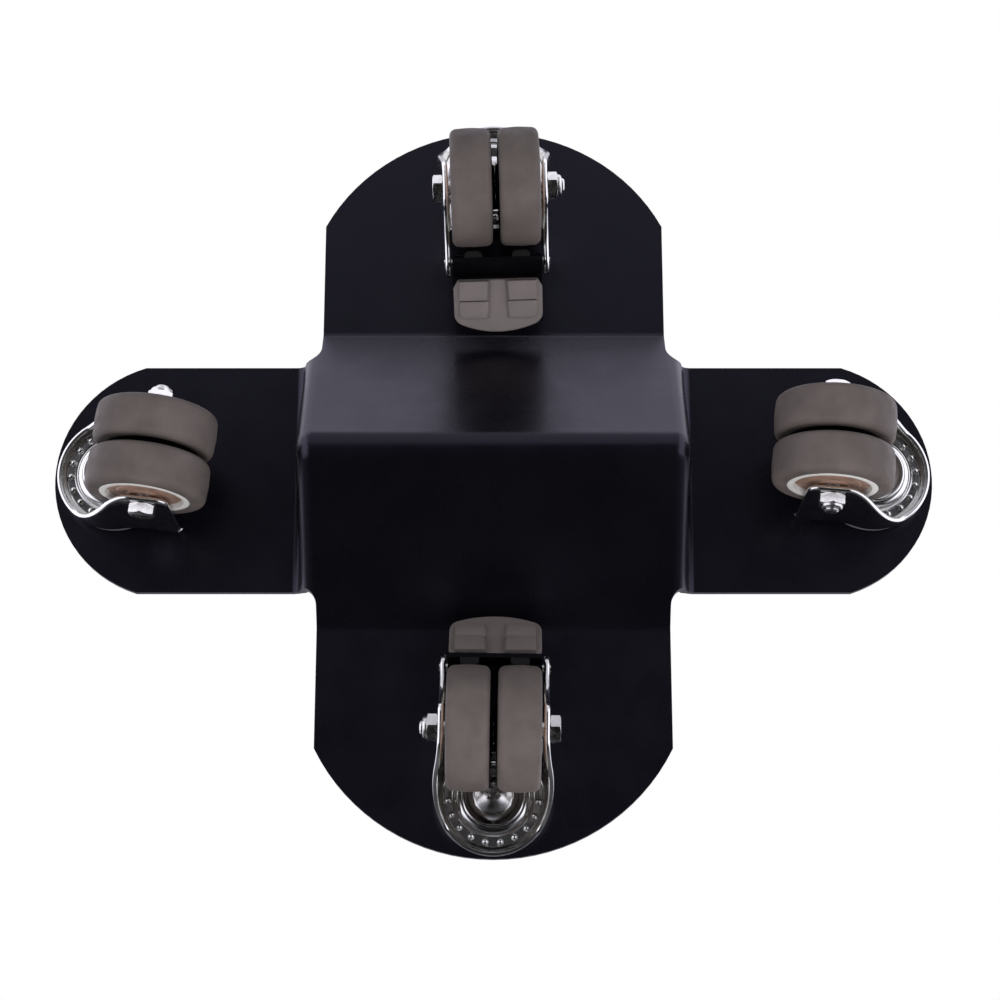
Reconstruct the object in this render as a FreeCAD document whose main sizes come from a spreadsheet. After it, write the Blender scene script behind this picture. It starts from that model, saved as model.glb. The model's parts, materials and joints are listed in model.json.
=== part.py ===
import FreeCAD, Part
import Sketcher
import math
import os
import re

# Piano dolly: a pressed steel cross with a V-shaped trough, on four twin-wheel swivel casters.
# The frame has its origin on the floor under the middle of the cross, with +Z up.
# X runs along the narrow arms with the plain casters, Y along the wide arms with the braked ones.

SIZES = {
    # pressed steel cross
    "span_x": 374.0,
    "span_y": 323.0,
    "wide_arm": 148.0,
    "narrow_arm": 100.0,
    "wide_end_radius": 83.0,
    "narrow_end_radius": 52.4,
    "corner_radius": 7.0,
    "steel": 3.0,
    # trough pressed into the middle, its depth taken to the sharp fold line
    "pan_width": 162.0,
    "trough_opening": 130.0,
    "fold_depth": 50.5,
    "fold_radius": 11.0,
    "wall_radius": 7.0,
    "bend_radius": 4.0,
    # places and rest directions of the swivels
    "swivel_x": 160.5,
    "swivel_y": 137.0,
    "left_angle": 6.7,
    "right_angle": 184.9,
    "front_angle": 88.2,
    "rear_angle": -89.2,
    # swivel bearing, centred on the swivel axis and measured down from the arm
    "race_diameter": 46.0,
    "race_foot": 41.0,
    "race_depth": 3.0,
    "swivel_gap": 0.4,
    "swivel_running_gap": 0.05,
    "ring_diameter": 48.4,
    "ring_rim": 1.4,
    "ring_drop": 9.0,
    "ring_floor": 35.0,
    "ring_hole": 20.0,
    "keeper_diameter": 27.0,
    "keeper_depth": 2.0,
    "king_diameter": 8.0,
    "king_head": 15.0,
    "king_head_radius": 10.0,
    "king_nut_size": 15.0,
    "king_nut_height": 6.5,
    "king_tip": 2.0,
    "washer_diameter": 18.0,
    "washer_height": 1.5,
    "fastener_gap": 0.1,
    # fork, with the axle behind the swivel axis
    "trail": 21.3,
    "axle_drop": 43.0,
    "fork_width": 44.0,
    "fork_steel": 2.2,
    "fork_fold_radius": 5.0,
    "leg_front": 14.0,
    "leg_back": 31.6,
    "leg_foot": 6.5,
    "heel_radius": 5.0,
    "leg_toe": 7.3,
    "toe_radius": 6.0,
    "lean_angle": 22.0,
    "leg_neck": 3.0,
    "front_sweep": 38.0,
    "shoulder_drop": 9.0,
    "axle_diameter": 6.0,
    "axle_running_gap": 0.05,
    "axle_head_size": 10.0,
    "axle_head_height": 4.4,
    "axle_nut_size": 10.0,
    "axle_nut_height": 6.2,
    "axle_tip": 1.0,
    # twin wheels
    "wheel_diameter": 50.0,
    "wheel_width": 17.2,
    "wheel_spacing": 20.2,
    "core_diameter": 37.0,
    # toe brake, hung on a pin behind the wheels
    "pin_reach": 48.9,
    "pin_drop": 26.4,
    "pin_diameter": 4.0,
    "pin_end": 0.5,
    "tail_top": 24.0,
    "tail_radius": 5.5,
    "tail_sweep": 22.0,
    "lever_eye_radius": 3.8,
    "lever_width": 38.0,
    "lever_steel": 1.8,
    "lever_tongue": 26.0,
    "shoe_arm": 11.6,
    "pedal_slope": 34.0,
    "pedal_start": 6.9,
    "pedal_width": 38.0,
    "pedal_length": 23.0,
    "pedal_edge_radius": 40.0,
    "pedal_plate": 4.0,
    "pedal_step": 2.0,
    "pedal_border": 2.2,
    "pedal_valley": 7.0,
    "shoe_width": 7.6,
    "shoe_height": 7.6,
    "shoe_gap": 2.2,
}

# The core's edge is a many-sided key, so that the tread moulded over it can't slip round.
CORE_SIDES = 12
POSTS = {
    "left": ("-swivel_x", "0", "left_angle"),
    "right": ("swivel_x", "0", "right_angle"),
    "front": ("0", "-swivel_y", "front_angle"),
    "rear": ("0", "swivel_y", "rear_angle"),
}
BRAKED = ("front", "rear")

doc = FreeCAD.newDocument("piano_dolly")
sheet = doc.addObject("Spreadsheet::Sheet", "sizes")
for row, (alias, amount) in enumerate(SIZES.items(), start=1):
    sheet.set("A%d" % row, alias)
    sheet.set("B%d" % row, str(amount))
    sheet.setAlias("B%d" % row, alias)
probe = doc.addObject("App::FeaturePython", "probe")
probe.addProperty("App::PropertyFloat", "Reading")
doc.recompute()


def linked(text):
    """Expression with each size's name made a reference to its cell."""
    def name(match):
        word = match.group(0)
        return "sizes." + word if word in SIZES else word
    return re.sub(r"[a-z_]+", name, str(text))


def reading(text):
    """Number that an expression of the sizes gives."""
    probe.setExpression("Reading", linked(text))
    probe.recompute()
    return probe.Reading


def pose(x, y, z, turn="0", axis="0; 0; 1"):
    """Expression of a placement: a point, and a turn in degrees about an axis."""
    return "placement(vector(%s; %s; %s); rotation(vector(%s); %s))" % (x, y, z, axis, turn)


def place(thing, *poses):
    """Tie an object's placement to one pose, or to several taken one in the other."""
    thing.setExpression("Placement", linked(" * ".join(poses)))
    return thing


def origin_plane(body, role):
    """One of the body's own three origin planes."""
    return [item for item in body.Origin.OriginFeatures if item.Role == role][0]


def new_sketch(body, name, role, height=None):
    """Empty sketch on an origin plane, lifted along the plane's normal."""
    sketch = body.newObject("Sketcher::SketchObject", name)
    sketch.AttachmentSupport = [(origin_plane(body, role), "")]
    sketch.MapMode = "FlatFace"
    if height is not None:
        sketch.setExpression(".AttachmentOffset.Base.z", linked(height))
    return sketch


def tie(sketch, kind, geometry, point, text):
    """Constraint of one value, tied to an expression."""
    parts = [geometry] if point is None else [geometry, point]
    index = sketch.addConstraint(Sketcher.Constraint(kind, *parts, reading(text)))
    sketch.setExpression("Constraints[%d]" % index, linked(text))


def arc_between(start, end, radius, side):
    """Short arc from start to end, its centre to the left (+1) or right (-1) of the way there."""
    chord = end - start
    height = math.sqrt(max(radius ** 2 - (chord.Length / 2) ** 2, 0))
    across = FreeCAD.Vector(-chord.y, chord.x, 0).normalize()
    centre = (start + end) / 2 + across * height * side
    angles = [math.atan2(p.y - centre.y, p.x - centre.x) for p in (start, end)]
    first, last = angles if side > 0 else reversed(angles)
    circle = Part.Circle(centre, FreeCAD.Vector(0, 0, 1), radius)
    return Part.ArcOfCircle(circle, first, last)


def loop(sketch, corners):
    """Closed outline through corners (x, y), or (x, y, radius, side) where an arc leaves the corner."""
    points = [FreeCAD.Vector(reading(c[0]), reading(c[1]), 0) for c in corners]
    ends = []
    for i, corner in enumerate(corners):
        start, end = points[i], points[(i + 1) % len(points)]
        if len(corner) == 2:
            index = sketch.addGeometry(Part.LineSegment(start, end))
            ends.append((index, 1, 2))
        else:
            index = sketch.addGeometry(arc_between(start, end, reading(corner[2]), corner[3]))
            tie(sketch, "Radius", index, None, corner[2])
            ends.append((index, 1, 2) if corner[3] > 0 else (index, 2, 1))
        tie(sketch, "DistanceX", index, ends[i][1], corner[0])
        tie(sketch, "DistanceY", index, ends[i][1], corner[1])
    for i, (index, _, last) in enumerate(ends):
        following = ends[(i + 1) % len(ends)]
        sketch.addConstraint(Sketcher.Constraint("Coincident", index, last, following[0], following[1]))


def circle(sketch, x, y, diameter):
    """Circle in a sketch, tied to its centre and diameter."""
    centre = FreeCAD.Vector(reading(x), reading(y), 0)
    index = sketch.addGeometry(Part.Circle(centre, FreeCAD.Vector(0, 0, 1), reading(diameter) / 2))
    tie(sketch, "DistanceX", index, 3, x)
    tie(sketch, "DistanceY", index, 3, y)
    tie(sketch, "Diameter", index, None, diameter)


def grow(body, kind, name, sketch, length=None, symmetric=False, back=False):
    """Pad or Pocket of a sketch; a Pocket with no length goes through everything."""
    feature = body.newObject("PartDesign::" + kind, name)
    feature.Profile = sketch
    feature.SideType = "Symmetric" if symmetric else "One side"
    feature.Reversed = back
    if length is None:
        feature.Type = "ThroughAll"
    else:
        feature.setExpression("Length", linked(length))
    return feature


def turned(body, name, sketch):
    """Solid of revolution about the vertical axis of the sketch."""
    feature = body.newObject("PartDesign::Revolution", name)
    feature.Profile = sketch
    feature.ReferenceAxis = (sketch, ["V_Axis"])
    feature.Angle = 360
    return feature


def rounded(body, name, feature, radius, wanted):
    """Fillet on the edges whose middle point and bounding box pass the test."""
    doc.recompute()
    edges = []
    for number, edge in enumerate(feature.Shape.Edges, start=1):
        if wanted(edge.BoundBox):
            edges.append("Edge%d" % number)
    fillet = body.newObject("PartDesign::Fillet", name)
    fillet.Base = (feature, edges)
    fillet.setExpression("Radius", linked(radius))
    return fillet


ARM_HEIGHT = "(axle_drop + wheel_diameter / 2)"
SLOPE = "atan(2 * fold_depth / trough_opening)"


# Pressed steel cross: arms in one plane, and between them the trough with its steep end walls.
def cross_pan():
    body = doc.addObject("PartDesign::Body", "cross_pan")

    arms = new_sketch(body, "arms_outline", "XY_Plane", ARM_HEIGHT)
    wide_end = "(span_y / 2 - wide_end_radius + sqrt(wide_end_radius ^ 2 - wide_arm ^ 2 / 4))"
    narrow_end = "(span_x / 2 - narrow_end_radius + sqrt(narrow_end_radius ^ 2 - narrow_arm ^ 2 / 4))"
    x_side = "wide_arm / 2"
    y_side = "narrow_arm / 2"
    beyond = "(pan_width / 2 + corner_radius)"
    past = "(trough_opening / 2 + corner_radius)"
    loop(arms, [
        (narrow_end, "-" + y_side, "narrow_end_radius", 1),
        (narrow_end, y_side),
        (beyond, y_side),
        (beyond, past),
        (x_side, past),
        (x_side, wide_end, "wide_end_radius", 1),
        ("-" + x_side, wide_end),
        ("-" + x_side, past),
        ("-" + beyond, past),
        ("-" + beyond, y_side),
        ("-" + narrow_end, y_side, "narrow_end_radius", 1),
        ("-" + narrow_end, "-" + y_side),
        ("-" + beyond, "-" + y_side),
        ("-" + beyond, "-" + past),
        ("-" + x_side, "-" + past),
        ("-" + x_side, "-" + wide_end, "wide_end_radius", 1),
        (x_side, "-" + wide_end),
        (x_side, "-" + past),
        (beyond, "-" + past),
        (beyond, "-" + y_side),
    ])
    grow(body, "Pad", "arms", arms, "steel")

    half = "trough_opening / 2"
    sharp = "(" + ARM_HEIGHT + " - fold_depth)"
    wedge = new_sketch(body, "trough_outside", "YZ_Plane")
    tangent = "fold_radius * sin(" + SLOPE + ")"
    lift = tangent + " * tan(" + SLOPE + ")"
    loop(wedge, [
        ("-" + half, ARM_HEIGHT),
        ("-" + tangent, sharp + " + " + lift, "fold_radius", 1),
        (tangent, sharp + " + " + lift),
        (half, ARM_HEIGHT),
    ])
    block = grow(body, "Pad", "trough_block", wedge, "pan_width", symmetric=True)

    low = reading(ARM_HEIGHT) - 0.01
    wall = reading("pan_width / 2")
    wall_in = reading("pan_width / 2 - steel")

    def at_wall(x):
        def test(box):
            return box.XLength < 0.01 and abs(abs(box.XMax) - x) < 0.01 and box.ZMin < low - 1
        return test

    rounded(body, "wall_corners", block, "wall_radius", at_wall(wall))

    inside = new_sketch(body, "trough_inside", "YZ_Plane")
    sharp_in = "(" + sharp + " + steel / cos(" + SLOPE + "))"
    top = "(" + ARM_HEIGHT + " + 2 * steel)"
    reach = "(" + top + " - " + sharp_in + ") / tan(" + SLOPE + ")"
    inner_tangent = "(fold_radius - steel) * sin(" + SLOPE + ")"
    inner_lift = inner_tangent + " * tan(" + SLOPE + ")"
    loop(inside, [
        ("-" + reach, top),
        ("-" + inner_tangent, sharp_in + " + " + inner_lift, "fold_radius - steel", 1),
        (inner_tangent, sharp_in + " + " + inner_lift),
        (reach, top),
    ])
    hollow = grow(body, "Pocket", "trough", inside, "pan_width - 2 * steel", symmetric=True)
    inner_walls = rounded(body, "inner_corners", hollow, "wall_radius - steel", at_wall(wall_in))

    top_level = reading(ARM_HEIGHT + " + steel")
    under = reading(ARM_HEIGHT)
    opening = reading(past)

    def round_trough(level):
        def test(box):
            flat = box.ZLength < 0.01 and abs(box.ZMax - level) < 0.01
            inside_x = box.XMax < wall + 1 and box.XMin > -wall - 1
            return flat and inside_x and max(box.YMax, -box.YMin) < opening - 0.5
        return test

    upper_bend = rounded(body, "upper_bend", inner_walls, "bend_radius + steel", round_trough(top_level))
    rounded(body, "lower_bend", upper_bend, "bend_radius", round_trough(under))

    relief = new_sketch(body, "corner_relief", "XY_Plane")
    x_corner = "(wide_arm / 2 + corner_radius)"
    y_corner = "(narrow_arm / 2 + corner_radius)"
    for sx, sy in (("", ""), ("-", ""), ("-", "-"), ("", "-")):
        loop(relief, [
            (sx + x_corner, sy + y_side, "corner_radius", -1 if sx == sy else 1),
            (sx + x_side, sy + y_corner),
            (sx + x_side, sy + past),
            (sx + beyond, sy + past),
            (sx + beyond, sy + y_side),
        ])
    grow(body, "Pocket", "corner_cuts", relief, symmetric=True)

    holes = new_sketch(body, "king_holes", "XY_Plane")
    for x, y in (("swivel_x", "0"), ("-swivel_x", "0"), ("0", "swivel_y"), ("0", "-swivel_y")):
        circle(holes, x, y, "king_diameter + 2 * fastener_gap")
    grow(body, "Pocket", "king_hole", holes, symmetric=True)
    return body


def post(caster):
    """Frame of a caster: on its swivel axis under the arm, +X towards its wheels."""
    x, y, turn = POSTS[caster]
    return pose(x, y, ARM_HEIGHT, turn)


def spun(name, corners):
    """Body turned about the vertical axis from a half outline of radius and height."""
    body = doc.addObject("PartDesign::Body", name)
    sketch = new_sketch(body, name + "_half", "XZ_Plane")
    loop(sketch, corners)
    turned(body, name + "_turned", sketch)
    return body


def solid(kind, name, at=None, **sizes):
    """Part primitive with its sizes tied to expressions."""
    thing = doc.addObject("Part::" + kind, name)
    for size, text in sizes.items():
        thing.setExpression(size, linked(text))
    if at is not None:
        place(thing, at)
    return thing


def joined(name, pieces):
    fuse = doc.addObject("Part::MultiFuse", name)
    fuse.Shapes = pieces
    return fuse


def cut(name, base, tool):
    thing = doc.addObject("Part::Cut", name)
    thing.Base = base
    thing.Tool = tool
    return thing


def hexagon(name, size, height, at):
    """Six-sided prism of a width across its flats."""
    prism = solid("Prism", name, at, Circumradius="%s / 2 / cos(30)" % size, Height=height)
    prism.Polygon = 6
    return prism


def set_of_four(name, make):
    """The same fixed piece at all four swivels, as one sub-part."""
    pieces = []
    for caster in POSTS:
        pieces.append(place(make(caster + "_" + name), post(caster)))
    group = doc.addObject("Part::Compound", name)
    group.Links = pieces
    return group


RING_TOP = "-(race_depth + swivel_gap)"
KEEPER_TOP = "-(ring_drop + swivel_gap)"
KEEPER_FOOT = "-(ring_drop + swivel_gap + keeper_depth)"
KING_HOLE = "(king_diameter / 2 + fastener_gap)"


# Upper race: the pressed cup under the arm that the fork's ring turns against.
def swivel_race(name):
    return spun(name, [
        (KING_HOLE, "-race_depth"),
        ("race_foot / 2", "-race_depth"),
        ("race_diameter / 2", "0"),
        (KING_HOLE, "0"),
    ])


# Keeper: the bush in the ring's hole with the dished washer that carries the fork.
def king_keeper(name):
    bush = "(ring_hole / 2 - swivel_running_gap)"
    return spun(name, [
        (KING_HOLE, "-race_depth"),
        (bush, "-race_depth"),
        (bush, KEEPER_TOP),
        ("keeper_diameter / 2", KEEPER_TOP),
        ("keeper_diameter / 2 - keeper_depth", KEEPER_FOOT),
        (KING_HOLE, KEEPER_FOOT),
    ])


# King screw: dome head under the keeper, shank through the bearing and the arm.
def king_screw(name):
    tip = "steel + washer_height + king_nut_height + king_tip"
    dome = "(king_head_radius - sqrt(king_head_radius ^ 2 - king_head ^ 2 / 4))"
    return spun(name, [
        ("0", KEEPER_FOOT + " - " + dome, "king_head_radius", 1),
        ("king_head / 2", KEEPER_FOOT),
        ("king_diameter / 2", KEEPER_FOOT),
        ("king_diameter / 2", tip),
        ("0", tip),
    ])


# King nut: hexagon nut on its washer, on the upper face of the arm.
def king_nut(name):
    washer = solid("Cylinder", name + "_washer", pose("0", "0", "steel"),
                   Radius="washer_diameter / 2", Height="washer_height")
    nut = hexagon(name + "_hexagon", "king_nut_size", "king_nut_height",
                  pose("0", "0", "steel + washer_height"))
    bore = solid("Cylinder", name + "_bore", Radius=KING_HOLE,
                 Height="steel + washer_height + king_nut_height + king_tip")
    return cut(name, joined(name + "_blank", [washer, nut]), bore)


# Fork: a folded channel cut to the swan-neck side view, with the domed ring raised in its web.
def fork(caster):
    body = doc.addObject("PartDesign::Body", caster + "_fork")
    side, steel, fold = "fork_width / 2", "fork_steel", "fork_fold_radius"
    foot = "-(axle_drop + 2 * leg_foot)"
    bend = RING_TOP + " - " + fold
    channel = new_sketch(body, caster + "_channel", "YZ_Plane")
    loop(channel, [
        ("-" + side, foot),
        ("-" + side, bend, fold, -1),
        ("-" + side + " + " + fold, RING_TOP),
        (side + " - " + fold, RING_TOP, fold, -1),
        (side, bend),
        (side, foot),
        (side + " - " + steel, foot),
        (side + " - " + steel, bend, fold + " - " + steel, 1),
        (side + " - " + fold, RING_TOP + " - " + steel),
        ("-" + side + " + " + fold, RING_TOP + " - " + steel, fold + " - " + steel, 1),
        ("-" + side + " + " + steel, bend),
        ("-" + side + " + " + steel, foot),
    ])
    span = "(pin_reach + leg_front)"
    grow(body, "Pad", caster + "_folded", channel, "3 * " + span, symmetric=True)

    trim = new_sketch(body, caster + "_side_view", "XZ_Plane")
    loop(trim, [
        ("-2 * " + span, "fork_width"),
        ("2 * " + span, "fork_width"),
        ("2 * " + span, "-3 * axle_drop"),
        ("-2 * " + span, "-3 * axle_drop"),
    ])
    sole = "-(axle_drop + leg_foot)"
    rounding = "toe_radius * tan(45 - lean_angle / 2)"
    outline = [("-leg_front", RING_TOP)]
    if caster in BRAKED:
        outline += [
            ("tail_top", RING_TOP),
            ("pin_reach", "-pin_drop + tail_radius", "tail_radius", -1),
            ("pin_reach + tail_radius", "-pin_drop", "tail_radius", -1),
            ("pin_reach", "-pin_drop - tail_radius", "tail_sweep", 1),
        ]
    else:
        outline += [("leg_back", RING_TOP)]
    outline += [
        ("leg_back", sole + " + heel_radius", "heel_radius", -1),
        ("leg_back - heel_radius", sole),
        ("leg_toe + " + rounding, sole, "toe_radius", -1),
        ("leg_toe - %s * sin(lean_angle)" % rounding, "%s + %s * cos(lean_angle)" % (sole, rounding)),
        ("-leg_neck", sole + " + (leg_toe + leg_neck) / tan(lean_angle)", "front_sweep", 1),
        ("-leg_front", "-shoulder_drop"),
    ]
    loop(trim, outline)
    grow(body, "Pocket", caster + "_trimmed", trim, symmetric=True)

    dome = new_sketch(body, caster + "_ring", "XZ_Plane")
    loop(dome, [
        ("ring_hole / 2", RING_TOP),
        ("ring_hole / 2", "-ring_drop"),
        ("ring_floor / 2", "-ring_drop"),
        ("ring_diameter / 2", RING_TOP + " - ring_rim"),
        ("ring_diameter / 2", RING_TOP),
    ])
    turned(body, caster + "_dome", dome)
    centre = new_sketch(body, caster + "_centre", "XY_Plane")
    circle(centre, "0", "0", "ring_hole")
    grow(body, "Pocket", caster + "_king_opening", centre, symmetric=True)

    eyes = new_sketch(body, caster + "_eyes", "XZ_Plane")
    circle(eyes, "trail", "-axle_drop", "axle_diameter + 2 * fastener_gap")
    if caster in BRAKED:
        circle(eyes, "pin_reach", "-pin_drop", "pin_diameter + 2 * fastener_gap")
    grow(body, "Pocket", caster + "_eye_holes", eyes, symmetric=True)
    return place(body, post(caster))


ACROSS = pose("trail", "0", "-axle_drop", "90", "1; 0; 0")


# Axle: a hexagon bolt through both legs, its nut on the far side.
def axle(caster):
    length = "fork_width + axle_nut_height + axle_tip"
    shank = solid("Cylinder", caster + "_shank", pose("0", "0", "-fork_width / 2"),
                  Radius="axle_diameter / 2", Height=length)
    head = hexagon(caster + "_head", "axle_head_size", "axle_head_height",
                   pose("0", "0", "-fork_width / 2 - axle_head_height"))
    bolt = place(joined(caster + "_axle_bolt", [shank, head]), post(caster), ACROSS)
    blank = hexagon(caster + "_nut_hexagon", "axle_nut_size", "axle_nut_height",
                    pose("0", "0", "fork_width / 2"))
    bore = solid("Cylinder", caster + "_nut_bore", Radius="axle_diameter / 2 + fastener_gap",
                 Height="fork_width / 2 + 2 * axle_nut_height")
    nut = place(cut(caster + "_axle_nut", blank, bore), post(caster), ACROSS)
    return [bolt, nut]


# Wheel: a soft tread moulded over a hard core that runs on the axle.
def wheel(caster, number):
    name = "%s_%%s_%d" % (caster, number)
    side = "-" if number == 1 else ""
    start = pose("0", "0", side + "wheel_spacing / 2 - wheel_width / 2")

    def key(label):
        prism = solid("Prism", name % label, start, Circumradius="core_diameter / 2",
                      Height="wheel_width")
        prism.Polygon = CORE_SIDES
        return prism

    tyre = solid("Cylinder", name % "tyre", start, Radius="wheel_diameter / 2", Height="wheel_width")
    tread = cut(name % "tread", tyre, key("seat"))
    bore = solid("Cylinder", name % "bore", pose("0", "0", "-fork_width / 2"),
                 Radius="axle_diameter / 2 + axle_running_gap", Height="fork_width")
    core = cut(name % "core", key("disc"), bore)
    return [place(tread, post(caster), ACROSS), place(core, post(caster), ACROSS)]


PIVOT = pose("pin_reach", "0", "-pin_drop")
SLANTED = pose("pin_reach", "0", "-pin_drop", "-pedal_slope", "0; 1; 0")


# Brake pin through the fork's tails.
def brake_pin(caster):
    pin = solid("Cylinder", caster + "_brake_pin", Radius="pin_diameter / 2",
                Height="fork_width + 2 * pin_end")
    at = pose("pin_reach", "fork_width / 2 + pin_end", "-pin_drop", "90", "1; 0; 0")
    return place(pin, post(caster), at)


# Brake lever: pressed strip with a rolled eye on the pin, a tongue under the pedal and a shoe arm.
def brake_lever(caster):
    body = doc.addObject("PartDesign::Body", caster + "_brake_lever")
    eye, steel = "lever_eye_radius", "lever_steel"
    arm = "(lever_eye_radius - lever_steel)"
    up_x, up_z = "-sin(pedal_slope)", "cos(pedal_slope)"
    out_x, out_z = "lever_tongue * cos(pedal_slope)", "lever_tongue * sin(pedal_slope)"
    lower_rise = "(%s / cos(pedal_slope) + %s * tan(pedal_slope))" % (arm, eye)
    profile = new_sketch(body, caster + "_lever_profile", "XZ_Plane")
    loop(profile, [
        (arm, "-shoe_arm"),
        (arm, "-sqrt(%s ^ 2 - %s ^ 2)" % (eye, arm), eye, -1),
        ("-" + eye, "0", eye, -1),
        (eye + " * " + up_x, eye + " * " + up_z),
        (eye + " * " + up_x + " + " + out_x, eye + " * " + up_z + " + " + out_z),
        (arm + " * " + up_x + " + " + out_x, arm + " * " + up_z + " + " + out_z),
        (eye, lower_rise),
        (eye, "-shoe_arm"),
    ])
    grow(body, "Pad", caster + "_lever_strip", profile, "lever_width", symmetric=True)
    hole = new_sketch(body, caster + "_lever_eye", "XZ_Plane")
    circle(hole, "0", "0", "pin_diameter + 2 * axle_running_gap")
    grow(body, "Pocket", caster + "_lever_hole", hole, symmetric=True)
    return place(body, post(caster), PIVOT)


# Pedal: moulded plate under the tongue, with two stepped pads beside a valley.
def brake_pedal(caster):
    body = doc.addObject("PartDesign::Body", caster + "_brake_pedal")
    seat = "(lever_eye_radius - lever_steel)"
    half = "pedal_width / 2"
    end = "(pedal_start + pedal_length)"
    bulge = "(pedal_edge_radius - sqrt(pedal_edge_radius ^ 2 - pedal_width ^ 2 / 4))"
    plan = new_sketch(body, caster + "_pedal_plan", "XY_Plane", seat)
    loop(plan, [
        ("pedal_start", "-" + half),
        (end + " - " + bulge, "-" + half, "pedal_edge_radius", 1),
        (end + " - " + bulge, half),
        ("pedal_start", half),
    ])
    grow(body, "Pad", caster + "_pedal_plate", plan, "pedal_plate", back=True)
    pads = new_sketch(body, caster + "_pedal_pads", "XY_Plane", seat + " - pedal_plate")
    inner = "pedal_start + pedal_border"
    outer = end + " - " + bulge + " - pedal_border"
    for side in ("", "-"):
        near, far = side + "pedal_valley / 2", side + "(pedal_width / 2 - pedal_border)"
        loop(pads, [(inner, near), (outer, near), (outer, far), (inner, far)])
    grow(body, "Pad", caster + "_pedal_step", pads, "pedal_step", back=True)
    return place(body, post(caster), SLANTED)


# Brake shoes: two blocks on the shoe arm, hollowed to the tread.
def brake_shoes(caster):
    arm = "(pin_reach + lever_eye_radius - lever_steel)"
    foot = "(pin_drop + shoe_arm)"
    head = "(pin_drop + shoe_arm - shoe_height)"
    hollow = "(wheel_diameter / 2 + shoe_gap)"
    face = "trail + sqrt(" + hollow + " ^ 2 - (axle_drop - %s) ^ 2)"
    shoes = []
    for number, side in ((1, ""), (2, "-")):
        name = "%s_shoe_%d" % (caster, number)
        body = doc.addObject("PartDesign::Body", name)
        profile = new_sketch(body, name + "_profile", "XZ_Plane")
        loop(profile, [
            (arm, "-" + foot),
            (arm, "-" + head),
            (face % head, "-" + head, hollow, -1),
            (face % foot, "-" + foot),
        ])
        grow(body, "Pad", name + "_block", profile, "shoe_width", symmetric=True)
        shoes.append(place(body, pose("0", side + "wheel_spacing / 2", "0")))
    group = doc.addObject("Part::Compound", caster + "_brake_shoes")
    group.Links = shoes
    return place(group, post(caster))


nodes = [
    cross_pan(),
    set_of_four("swivel_races", swivel_race),
    set_of_four("king_keepers", king_keeper),
    set_of_four("king_screws", king_screw),
    set_of_four("king_nuts", king_nut),
]
for caster in POSTS:
    nodes += [fork(caster)] + axle(caster) + wheel(caster, 1) + wheel(caster, 2)
    if caster in BRAKED:
        nodes += [brake_pin(caster), brake_lever(caster), brake_pedal(caster), brake_shoes(caster)]
doc.recompute()

for thing in doc.Objects:
    if "Invalid" in thing.State or "Error" in thing.State:
        raise RuntimeError("failed feature: " + thing.Label)
for node in nodes:
    if node.Shape.isNull() or not node.Shape.isValid():
        raise RuntimeError("bad shape: " + node.Label)

os.makedirs("parts", exist_ok=True)
for node in nodes:
    node.Shape.exportStep("parts/%s.step" % node.Label)
print(len(nodes), "nodes")
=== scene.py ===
import json
import math

import bmesh
import bpy
from bpy.props import FloatProperty, FloatVectorProperty, IntProperty, PointerProperty
from mathutils import Matrix, Vector


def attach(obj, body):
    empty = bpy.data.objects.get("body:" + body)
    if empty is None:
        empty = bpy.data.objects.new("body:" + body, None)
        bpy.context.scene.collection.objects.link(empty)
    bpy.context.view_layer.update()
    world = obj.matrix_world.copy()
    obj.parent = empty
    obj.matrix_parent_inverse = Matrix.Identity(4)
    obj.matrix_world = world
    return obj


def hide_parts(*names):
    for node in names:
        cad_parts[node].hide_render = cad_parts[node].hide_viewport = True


bl_info = {
    "name": "Piano Dolly",
    "version": (1, 0, 0),
    "blender": (4, 5, 0),
    "location": "3D View > Sidebar > Dolly",
    "description": "Dresses the packed frame of a pressed steel piano dolly on twin-wheel casters",
    "category": "Object",
}

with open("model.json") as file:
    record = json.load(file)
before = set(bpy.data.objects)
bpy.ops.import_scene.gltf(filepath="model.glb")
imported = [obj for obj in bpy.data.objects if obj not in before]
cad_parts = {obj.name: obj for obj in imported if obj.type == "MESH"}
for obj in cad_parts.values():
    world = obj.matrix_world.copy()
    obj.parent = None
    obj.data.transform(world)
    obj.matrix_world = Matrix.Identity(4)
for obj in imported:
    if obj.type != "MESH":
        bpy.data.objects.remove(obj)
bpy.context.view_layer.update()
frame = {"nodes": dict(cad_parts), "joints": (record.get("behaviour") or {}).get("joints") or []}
JOINTS = {joint["name"]: joint for joint in frame["joints"]}
CASTERS = ("left", "right", "front", "rear")
BRAKED = ("front", "rear")
MM = 0.001
ACROSS = Matrix.Rotation(math.radians(90), 4, "X")


# Places, all in millimetres inside a caster's frame: on its swivel axis under the arm, +X towards its wheels.

def caster_place(caster):
    """Matrix of a caster's frame, read from its swivel and its axle."""
    post = Vector(JOINTS[caster + "_swivel_turn"]["pos_m"])
    axle = Vector(JOINTS[caster + "_wheel_1_spin"]["pos_m"])
    turn = math.atan2(axle.y - post.y, axle.x - post.x)
    return Matrix.Translation(post) @ Matrix.Rotation(turn, 4, "Z") @ Matrix.Scale(MM, 4)


def axle_point():
    """How far the axle lies behind and below the swivel's top."""
    post = Vector(JOINTS["left_swivel_turn"]["pos_m"])
    axle = Vector(JOINTS["left_wheel_1_spin"]["pos_m"])
    return (axle - post).xy.length / MM, (post.z - axle.z) / MM


def pin_point():
    """How far the brake's pin lies behind and below the swivel's top."""
    post = Vector(JOINTS["rear_swivel_turn"]["pos_m"])
    pin = Vector(JOINTS["rear_brake_press"]["pos_m"])
    return (pin - post).xy.length / MM, (post.z - pin.z) / MM


TRAIL, AXLE_DROP = axle_point()
PIN_REACH, PIN_DROP = pin_point()
AXLE = Matrix.Translation((TRAIL, 0, -AXLE_DROP)) @ ACROSS


# Mesh helpers

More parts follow.
